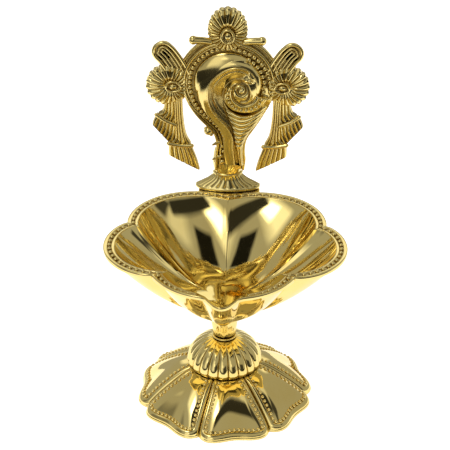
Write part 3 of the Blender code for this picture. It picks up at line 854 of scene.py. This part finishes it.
def whorl_front(across, up, inside):
    """The whorl's height: a cone of coils with a groove on both sides of its beads, and the painted shade in
    those grooves.
    """
    coil, _ = beside(WHORL_COIL, 320, across, up)
    rim, _ = beside(WHORL_RIM, 260, across, up)
    out = np.hypot(across - WHORL[0], up - WHORL[1])
    height = 2.9 + 2.7 * (1 - np.clip(out / 10.5, 0, 1) ** 1.2) + 0.4 * (1 - groove(coil, 1.0))
    height = height - 2.6 * (1 - ramp(-0.1, 0.9, inside))
    shade = np.maximum(groove(rim, 0.42), 0.8 * groove(coil, 0.38))
    return height - 0.8 * groove(rim, 0.4) - 0.75 * groove(coil, 0.38), shade


def tail_front(across, up, whorl_inside):
    """The tail's height: a rod that tapers downwards, with ridges stacked across it."""
    low, high = across_at(TAIL_LEFT, up), across_at(TAIL_RIGHT, up)
    share = np.clip((across - low) / (high - low), 0, 1)
    swell = np.sqrt(np.sin(pi * share)) * (1 - ramp(-0.5, 0.1, whorl_inside)) * (up < 40)
    sag = (0.5 + 2.9 * ramp(20.0, 35.0, up)) * (2 * share - 0.85) ** 2
    ridge = np.abs(np.cos(pi * (up - sag - 20.2) / 1.9)) ** 0.6
    ribbed = ramp(19.2, 20.4, up - sag)
    flute = np.abs(np.cos(3 * pi * share)) ** 0.7
    relief = ribbed * ridge + (1 - ribbed) * flute
    height = 0.9 + (1.9 + 1.0 * ramp(18.0, 34.0, up)) * swell
    return height + 0.55 * relief * swell, np.clip(1 - 1.7 * relief, 0, 1) * 0.9


def conch_front(across, up):
    """The conch's height over the plate, and how deep it lies in shade."""
    dome = 1.0 + 3.9 * half_round(np.hypot(across - BODY[0], up - BODY[1]) / BODY_RADIUS)
    away, along = beside(LIP, 260, across, up)
    along = np.clip((along - LIP_HOOK) / (1 - LIP_HOOK), 0, 1)
    border, _ = beside(CONCH_BORDER, 320, across, up)
    inside = np.where(border > 0, np.abs(away), -np.abs(away))
    lip = 4.4 - 1.7 * ramp(0.45, 0.85, along)
    reach = 2.2 + 2.2 * ramp(0.0, 0.3, along)
    shoulder = 0.9 + (lip - 0.9) * half_round(inside / reach)
    ledge = 1.7 * ramp(11.5, 13.0, across) * (1 - ramp(49.0, 54.0, up))
    outer = np.maximum(np.maximum(dome, shoulder), ledge)
    step = ramp(0.0, 0.06, along) * ramp(0.0, 0.5, inside)
    depth = (0.8 + 0.8 * ramp(0.35, 0.5, along)) * (1 - 0.6 * ramp(0.75, 0.95, along))
    trough = np.maximum(dome * (inside < 0.3), lip) - 0.9 * step - depth * ramp(0.3, 3.6, inside)
    trough = trough - 0.25 * groove(inside - 1.9, 0.3) - 0.3 * np.clip(inside - 3.6, 0, None)
    whorl_inside, _ = beside(WHORL_EDGE, 220, across, up)
    whorl, whorl_shade = whorl_front(across, up, whorl_inside)
    tail, tail_shade = tail_front(across, up, whorl_inside)
    inner = np.maximum(-rounded_least(-trough, -whorl, 0.15), tail)
    shade = np.where(tail >= inner, tail_shade, np.where(whorl >= trough, whorl_shade, 0.0))
    hollow = ramp(0.0, 0.8, inside) * ramp(0.30, 0.45, along) * (inner - 0.05 <= trough)
    shade = np.maximum(shade, 0.6 * hollow)
    shade = np.maximum(shade, 0.5 * groove(inside - 0.6, 0.35) * ramp(0.03, 0.1, along))
    share = ramp(-0.25, 0.25, border)
    return outer + (inner - outer) * share, shade * share


def conch_outline(up):
    """The conch's left and right edges at a height: its round body, then its lip and its tail."""
    half = np.sqrt(np.clip(BODY_RADIUS**2 - (up - BODY[1]) ** 2, 0.01, None))
    lip_left = across_at(LIP_LEFT, up) - 3.5
    left = np.where(up > BODY[1], BODY[0] - half, np.minimum(BODY[0] - half, lip_left))
    tail_right = np.where(up > CONCH_RIGHT[0][1], 0.0, across_at(CONCH_RIGHT, up))
    return left, np.maximum(BODY[0] + half * (up > 41), tail_right)


def make_conch():
    """The conch: a swollen body, a lip that rolls over it, a whorl and a ribbed tail."""
    top = BODY[1] + BODY_RADIUS
    near_top = top - 3.0 * np.linspace(0.01, 1, 26) ** 2
    up = np.concatenate([near_top, np.linspace(top - 3.0, 12.0, 235)[1:]])
    left, right = conch_outline(up)
    share = np.linspace(0, 1, 150)
    across = left[:, None] * (1 - share) + right[:, None] * share
    up = np.broadcast_to(up[:, None], across.shape)
    height, shade = conch_front(across, up)
    shape = Shape()
    backed(shape, across, up, height, -1.4, shade)
    lip = curve(LIP, 260)[6:]
    front, _ = conch_front(*lip.T)
    thick = 0.08 + 0.22 * ramp(0, 40, np.arange(len(lip)))
    shape.tube(flat_points(lip, front + 0.10), thick)
    shape.piece("conch_body", sharp=75)


def bead_row(shape, points, pitch, radius, front=None, shrink=1.0):
    """Beads along a path, on the conch or at a height. Shrink is the last one's size against the first's."""
    path = curve(points, 300)
    sizes = radius * np.linspace(1, shrink, round(path_length(path) / pitch))
    gaps = np.cumsum(np.concatenate([[0], (sizes[1:] + sizes[:-1]) / 2]))
    along = np.linspace(0, 1, len(path))
    across, up = (np.interp(gaps / gaps[-1], along, column) for column in path.T)
    if front is None:
        front = conch_front(across, up)[0] + 0.3
    for centre, size in zip(on_emblem(across, up, front), sizes):
        shape.bead(centre, size)


def make_whorl():
    """The whorl's beads, and the bead at its middle."""
    shape = Shape()
    bead_row(shape, WHORL_BEADS, 1.9, 0.82)
    shape.bead(on_emblem(5.3, 45.7, 4.9), 0.95, sides=20, levels=11)
    shape.piece("conch_whorl")


def make_tail():
    """The beads down the tail's left side, the lines beside them, and the small growths on its edge."""
    shape = Shape()
    bead_row(shape, TAIL_BEADS, 1.55, 0.78, front=1.75, shrink=0.72)
    rod(shape, LEFT_EDGE, 1.0, 0.62, count=120)
    rod(shape, RIGHT_EDGE, 0.8, 0.55, count=120)
    rod(shape, [(across + 1.35, up + 0.35) for across, up in LEFT_EDGE[1:]], 1.2, 0.34, count=120)
    shape.bead(on_emblem(-7.4, 26.2, 1.2), 1.75, sides=20, levels=11)
    shape.bead(on_emblem(-6.3, 25.2, 1.9), 0.9)
    shape.bead(on_emblem(-8.3, 27.4, 1.6), 0.8)
    for up in (20.6, 14.2):
        spike = [(-3.4, up + 0.6), (-4.6, up - 0.1), (-5.9, up - 0.8)]
        rod(shape, spike, 0.9, np.linspace(1.0, 0.3, 16), count=16)
    for across, up, size in ((-2.1, 12.9, 1.0), (-1.7, 17.4, 0.7), (-2.6, 15.4, 0.8), (-2.2, 19.6, 0.6)):
        shape.bead(on_emblem(across, up, 1.4), size)
    shape.piece("conch_tail")


# --- Emblem's plate, shells and ribbons ---


def make_plate():
    """The emblem's flat ground: its disc, its body and its shoulders."""
    shape = Shape()
    # The disc's outer band, the body and the shoulders are darkened with painted shade and patina
    polar_relief(shape, DISC, DISC_RADIUS, lambda share, angle: 1.0 - 0.5 * ramp(0.96, 1.0, share),
                 rows=30, back=-2.2, shade_and_patina=lambda share, angle: 0.9 * ramp(0.7, 0.75, share))
    ribbon_relief(shape, curve(LEFT_EDGE), curve(RIGHT_EDGE),
                  lambda across: 0.9 * np.sqrt(np.sin(pi * np.clip(across, 0.02, 0.98))),
                  back=-2.0, shade_and_patina=0.5)
    for side in SIDES.values():
        arcs = [circle_path(DISC, radius, 14 * side, 76 * side, 40) for radius in (SHOULDER, 16.5)]
        ribbon_relief(shape, *arcs, 0.3, columns=16, back=-1.9, shade_and_patina=0.8)
    shape.piece("emblem_plate", sharp=40, replaces="conch_emblem")


def make_disc_border():
    """The ring round the disc, the second ring on its shoulders and the beads inside it."""
    shape = Shape()
    for inset, rise, thick in ((0.65, 1.0, 0.62), (1.75, 0.95, 0.36)):
        ring = circle_path(DISC, DISC_RADIUS - inset, 0, 357, 140)
        shape.tube(flat_points(ring, rise), thick, sides=12, closed=True)
    for side in SIDES.values():
        arc = circle_path(DISC, SHOULDER - 0.1, 18 * side, 76 * side, 60)
        shape.tube(flat_points(arc, 0.35), 0.55)
    bead_row(shape, RING_BEADS, 2.0, 0.92, front=1.3)
    bead_row(shape, INNER_BEADS, 2.0, 0.92, front=1.8)
    shape.piece("disc_border")


def fan(shape, centre, boss, across, up, ridges, height, first=0.0):
    """A scallop shell: an oval with ridges that spread from a boss to a scalloped edge."""
    offset = np.array(boss) - np.array(centre)

    def reach(angle):
        sine, cosine = np.sin(angle), np.cos(angle)
        a = (sine / across) ** 2 + (cosine / up) ** 2
        b = 2 * (offset[0] * sine / across**2 + offset[1] * cosine / up**2)
        c = (offset[0] / across) ** 2 + (offset[1] / up) ** 2 - 1
        edge = (-b + np.sqrt(b * b - 4 * a * c)) / (2 * a)
        return edge * (1 - 0.05 * (1 - np.abs(np.cos(ridges * (angle - first) / 2))))

    def ridge(share, angle):
        return np.abs(np.cos(ridges * (angle - first) / 2)) ** 0.7 * ramp(0.25, 0.5, share)

    def front(share, angle):
        crown = height * (0.55 + 0.45 * np.sin(pi * share**0.8))
        return (crown + 0.75 * ridge(share, angle)) * (1 - 0.45 * ramp(0.82, 1.0, share))

    # The valleys between the ridges are darkened with painted shade and patina
    def shade_and_patina(share, angle):
        return np.clip(1.0 - ridge(share, angle) * 1.7, 0, 1) * ramp(0.25, 0.45, share)

    polar_relief(shape, boss, reach, front, rows=30, columns=ridges * 16, shade_and_patina=shade_and_patina)


def make_crest():
    shape = Shape()
    fan(shape, (0.0, 69.0), (0.0, 67.4), 7.6, 9.0, 24, 1.7)
    oval = circle_path((0, 0), 1.0, 0, 350, 48) * (2.35, 2.7) + (0.0, 67.2)
    shape.tube(flat_points(oval, 2.7), 0.5, closed=True)
    shape.bead(on_emblem(0.1, 67.4, 2.5), 1.3, stretch=(1, 0.8, 1.2), sides=20, levels=11)
    for side in SIDES.values():
        bar = [(6.4, 64.3), (9.2, 64.7), (12.8, 64.8)]
        rod(shape, bar, 0.9, np.linspace(1.35, 1.5, 30), side, count=30)
        shape.bead(on_emblem(13.0 * side, 64.8, 0.9), 1.9, stretch=(0.9, 0.8, 0.95), sides=18, levels=11)
    shape.piece("crest_shell")


def make_side_shell(name):
    side = SIDES[name]
    shape = Shape()
    fan(shape, (23.0 * side, 45.3), (21.6 * side, 45.0), 8.3, 8.3, 22, 1.4, first=0.1)
    across, up = circle_path((0, 0), 1.0, 0, 350, 48).T
    point = np.clip(-across * side, 0, 1)
    drop = np.stack([side * (21.2 - 1.1 * point) + across * 2.3, 45.5 + up * 2.1], -1)
    shape.tube(flat_points(drop, 2.3), 0.45, closed=True)
    shape.bead(on_emblem(20.8 * side, 45.5, 1.7), 1.25, stretch=(1.3, 0.9, 1), sides=18, levels=11)
    shape.piece(f"side_shell_{name}")


def make_ribbon_loop(name):
    """A ribbon bow's loop: nested ridges round a slot, a flat sheet darkened with painted shade and patina.
    """
    shape = Shape()
    middle = mirrored([(17.8, 48.6), (20.0, 53.4), (22.6, 57.6), (24.4, 59.6)], SIDES[name])
    ahead = unit(np.gradient(middle, axis=0))
    normal = np.stack([-ahead[:, 1], ahead[:, 0]], -1)
    turn = np.linspace(0, pi, 24)[1:-1, None]
    for half_width, rise, thick in ((3.75, 0.7, 0.72), (2.0, 0.55, 0.45), (0.75, 0.5, 0.32)):
        cap = middle[-1] + half_width * (normal[-1] * np.cos(turn) + ahead[-1] * np.sin(turn))
        path = np.vstack([middle + normal * half_width, cap, (middle - normal * half_width)[::-1]])
        shape.tube(flat_points(path, rise), thick)
    # The slot is darkened with painted shade and patina
    slot = {"front": 0.2, "shade_and_patina": 0.75}
    ribbon_relief(shape, middle + normal * 3.7, middle - normal * 3.7, columns=12, back=-1.5, **slot)
    polar_relief(shape, middle[-1], 3.7, rows=6, columns=48, back=-1.45, **slot)
    shape.piece(f"ribbon_loop_{name}")


def pleated(shape, side, left, right, pleats, height, back):
    """A gathered ribbon with pleats along it. Ribbons that overlap have backs at different depths."""

    def wave(across):
        return np.abs(np.sin(pi * pleats * across)) ** 0.7

    def front(across):
        return height * (0.75 + 0.25 * np.sin(pi * across)) + 0.55 * wave(across)

    # The folds between the pleats are darkened with painted shade and patina
    ribbon_relief(shape, mirrored(left, side), mirrored(right, side), front, pleats * 10 + 1, back,
                  shade_and_patina=lambda across: np.clip(1.0 - 1.8 * wave(across), 0, 1))


def make_tassels(name):
    """The two hanging ribbons of a side, each with a cuff and a flared end."""
    side = SIDES[name]
    shape = Shape()
    pleated(shape, side, [(24.0, 39.4), (24.8, 34.6), (26.6, 32.9)],
            [(19.4, 39.4), (19.2, 33.0), (19.6, 29.2)], 4, 0.7, back=-1.4)
    pleated(shape, side, [(27.2, 32.6), (28.4, 30.2), (29.0, 28.4)],
            [(19.8, 29.2), (20.2, 24.0), (21.8, 19.8)], 6, 0.9, back=-1.4)
    rod(shape, [(27.6, 33.0), (24.0, 30.4), (19.8, 28.6)], 1.4, 0.75, side)
    pleated(shape, side, [(20.6, 39.8), (20.4, 30.0), (20.4, 23.0), (22.2, 20.8)],
            [(17.4, 40.6), (17.0, 31.0), (16.0, 24.0), (14.2, 20.0)], 4, 1.1, back=-1.35)
    pleated(shape, side, [(22.6, 19.8), (22.9, 17.4), (22.8, 15.2)],
            [(14.2, 19.4), (12.0, 13.0), (10.9, 8.6)], 6, 1.0, back=-1.35)
    rod(shape, [(23.0, 20.6), (18.6, 19.8), (13.6, 19.8)], 1.7, 0.85, side)
    shape.piece(f"tassels_{name}")


def make_emblem_foot():
    """The emblem's neck and its flared, fluted foot, half round with a flat back."""
    shape = Shape()
    # (height, half width, share of the full depth)
    levels = ((0.0, 12.5, 1.0), (0.35, 12.6, 1.02), (0.9, 12.5, 1.0), (1.2, 12.0, 0.97), (2.2, 10.2, 0.92),
              (3.3, 8.2, 0.86), (4.4, 6.7, 0.80), (5.6, 5.5, 0.76), (6.3, 5.2, 0.74), (8.0, 5.4, 0.74),
              (10.0, 5.75, 0.72), (12.0, 5.8, 0.66), (14.5, 5.5, 0.5), (17.0, 5.0, 0.3))
    angle = np.linspace(0, pi, 181)
    wave = np.abs(np.sin(11.5 * angle)) ** 0.7
    rows = []
    shades = []
    for height, half_width, share in curve(levels, 70):
        flute = float(ramp(0.9, 1.6, height) * (1 - ramp(5.0, 6.0, height)))
        swell = 1 - 0.075 * flute * (1 - wave)
        front = FOOT_BACK + 6.0 * share * (0.25 + 0.75 * np.sin(angle) * swell)
        row = on_emblem(half_width * np.cos(angle) * swell, height, front)
        back = on_emblem(np.array([-half_width, half_width]), height, FOOT_BACK + 0.3)
        rows.append(np.vstack([row, back]))
        shades.append(np.append(flute * np.clip(1 - 1.8 * wave, 0, 1), [0.2, 0.2]))
    shape.sheet(np.stack(rows), shade_and_patina=np.stack(shades))
    collar = on_emblem(5.35 * np.cos(angle), 6.6, FOOT_BACK + 4.5 * (0.25 + 0.75 * np.sin(angle)))
    shape.tube(collar, 0.55, up=(0, 0, 1), sides=8)
    shape.piece("emblem_foot")


# --- Lug and screws ---


def make_lug():
    """The seat behind the rim, which carries the emblem: a thin tongue with rounded corners."""
    cosine, sine = np.cos(full_turn(96)), np.sin(full_turn(96))
    across = np.sign(cosine) * np.abs(cosine) ** LUG_ROUNDNESS
    deep = np.sign(sine) * np.abs(sine) ** LUG_ROUNDNESS
    rows = []
    for inset, height in ((0.25, -2.0), (0.0, -1.75), (0.0, -0.35), (0.25, -0.08)):
        y = AXIS_Y + LUG_PLACE + deep * (LUG_HALF_DEPTH - inset)
        rows.append(points_at(across * (LUG_HALF_WIDTH - inset), y, RIM_Z + height))
    shape = Shape()
    shape.sheet(np.stack(rows))
    shape.piece("emblem_lug", "bowl_brass", sharp=40)


def make_screw(side):
    """A slotted pan-head screw, seen from below."""
    node = f"emblem_screw_{side}"
    low, high = corner(node, 0), corner(node, 1)
    centre = (low + high) / 2
    head = (high.x - low.x) / 2
    angle = full_turn(64)
    levels = []
    for radius, height in ((0.15, 0.25), (1.1, 0.25), (1.6, 0.32), (1.9, 0.6), (2.0, 0.9), (2.0, 1.2)):
        slot_depth = 0.5 * (np.abs(radius * np.sin(angle)) < 0.35) * (height < 0.8)
        levels.append((radius * head / 2.0, low.z - 0.25 + height + slot_depth))
    levels += [(1.0, low.z + 1.2), (1.0, high.z)]
    shape = Shape()
    shape.sheet(np.stack([points_at(centre.x + radius * np.cos(angle), centre.y + radius * np.sin(angle), z)
                          for radius, z in levels]))
    shape.piece(f"pan_screw_{side}", "fastener_steel", sharp=30, replaces=node)


# --- Floor, light and camera ---

# How strongly the floor glows in reflections: painted light
FLOOR_GLOW = 0.76
SKY = 0.40
# Softboxes and cards round the lamp: (azimuth, elevation, half width, half height, blur, light), in
# degrees, with azimuth 0 at the camera's side (-Y) and growing towards +X
PANELS = (
    (180, 32, 24, 6, 6, 1.1),
    (-55, 65, 24, 10, 8, 1.2),
    (88, 66, 12, 9, 8, 0.75),
    (-46, 67, 9, 6, 5, 5.0),
    (26, 67, 24, 9, 5, 0.03),
    (84, 47, 9, 9, 4, 0.05),
    (-75, 22, 12, 14, 8, 0.2),
    (-24, 24, 14, 20, 6, 0.95),
    (30, 8, 27, 14, 5, 0.05),
    (-8, 27, 5, 5, 4, 1.6),
    (180, 83, 8, 12, 3, 0.01),
)

CAMERA_TARGET = Vector((0.0, AXIS_Y * MM, 0.0755))
CAMERA_DISTANCE = 0.8
CAMERA_AZIMUTH = 2.1
CAMERA_ELEVATION = 31.2
FOCAL_LENGTH = 173.5
SENSOR_WIDTH = 36.0


def make_floor():
    """A pale floor, white to the camera. In reflections it has a painted glow near the lamp and behind it,
    and is painted near black elsewhere.
    """
    material, tree = new_material("studio_floor")
    tone = mixed(tree, noise(tree, 30.0), (0.90,) * 3, (0.93,) * 3)
    place = wired(tree, "TexCoord", {}, "Object")
    away = wired(tree, "VectorMath", {0: place, 1: (0, 0.04, 0)}, "Value", operation="DISTANCE")
    near = spread(tree, away, 0.215, 0.25, 1.0, 0.0)
    back = spread(tree, wired(tree, "SeparateXYZ", {0: place}, "Y"), -0.10, 0.0, 0.0, 1.0)
    seen = wired(tree, "LightPath", {}, "Is Camera Ray")
    # In reflections the floor's glow is painted light, and its near black colour elsewhere is painted dark
    painted_glow_mask = maths(tree, "MAXIMUM", maths(tree, "MAXIMUM", near, back), seen)
    feed(tree, tree.nodes["Principled BSDF"], {
        "Base Color": mixed(tree, painted_glow_mask, (0.03,) * 3, tone),
        "Roughness": 0.9,
        "Specular IOR Level": 0.1,
        "Emission Color": (1, 1, 1, 1),
        "Emission Strength": maths(tree, "MAXIMUM", maths(tree, "MULTIPLY", painted_glow_mask, FLOOR_GLOW), seen),
    })
    mesh = bpy.data.meshes.new("floor")
    reach, z = 6.0, -0.00005
    corners = [(-reach, -reach, z), (reach, -reach, z), (reach, reach, z), (-reach, reach, z)]
    mesh.from_pydata(corners, [], [(0, 1, 2, 3)])
    mesh.materials.append(material)
    placed("floor", mesh)


def direction_of(azimuth, elevation):
    a, e = radians(azimuth), radians(elevation)
    return Vector((sin(a) * cos(e), -cos(a) * cos(e), sin(e)))


def dotted(tree, vector, axis):
    return wired(tree, "VectorMath", {0: vector, 1: axis}, "Value", operation="DOT_PRODUCT")


def panel_mask(tree, vector, azimuth, elevation, half_width, half_height, blur):
    """1 inside a rectangle on the sky, and 0 outside it."""
    axis = direction_of(azimuth, elevation)
    right = direction_of(azimuth + 90, 0)
    ahead = dotted(tree, vector, axis)
    mask = spread(tree, ahead, 0.0, 0.05, 0.0, 1.0)
    safe = maths(tree, "MAXIMUM", ahead, 0.01)
    for side, half in ((right, half_width), (axis.cross(right), half_height)):
        along = maths(tree, "ABSOLUTE", maths(tree, "DIVIDE", dotted(tree, vector, side), safe))
        inner, outer = (tan(radians(max(0.5, half + turn))) for turn in (-blur / 2, blur / 2))
        mask = maths(tree, "MULTIPLY", mask, spread(tree, along, inner, outer, 1.0, 0.0))
    return mask


def make_world():
    """The studio as the metal reflects it. The camera itself sees plain white."""
    world = bpy.data.worlds.new("studio")
    bpy.context.scene.world = world
    world.use_nodes = True
    tree = world.node_tree
    vector = wired(tree, "TexCoord", {}, "Generated")
    light = (SKY,) * 3
    for *panel, strength in PANELS:
        light = mixed(tree, panel_mask(tree, vector, *panel), light, (strength,) * 3)
    seen = wired(tree, "LightPath", {}, "Is Camera Ray")
    feed(tree, tree.nodes["Background"], {"Color": mixed(tree, seen, light, (1.0,) * 3), "Strength": 1.0})


def make_camera():
    data = bpy.data.cameras.new("camera")
    data.lens = FOCAL_LENGTH
    data.sensor_width = SENSOR_WIDTH
    data.clip_start = 0.01
    data.shift_x = 0.0012
    camera = placed("camera", data)
    away = direction_of(CAMERA_AZIMUTH, CAMERA_ELEVATION)
    camera.location = CAMERA_TARGET + away * CAMERA_DISTANCE
    camera.rotation_euler = (-away).to_track_quat("-Z", "Y").to_euler()
    bpy.context.scene.camera = camera


for make in (make_foot, make_foot_beads, make_dome, make_neck_ring, make_stud, make_washer, make_nut,
             make_bowl, make_rim_beads, make_plate, make_conch, make_whorl, make_tail, make_disc_border,
             make_crest):
    make()
for side_name in SIDES:
    make_side_shell(side_name)
    make_ribbon_loop(side_name)
    make_tassels(side_name)
make_emblem_foot()
make_lug()
for side_name in SIDES:
    make_screw(side_name)
make_floor()
make_world()
make_camera()
bpy.context.scene.view_settings.view_transform = "Standard"
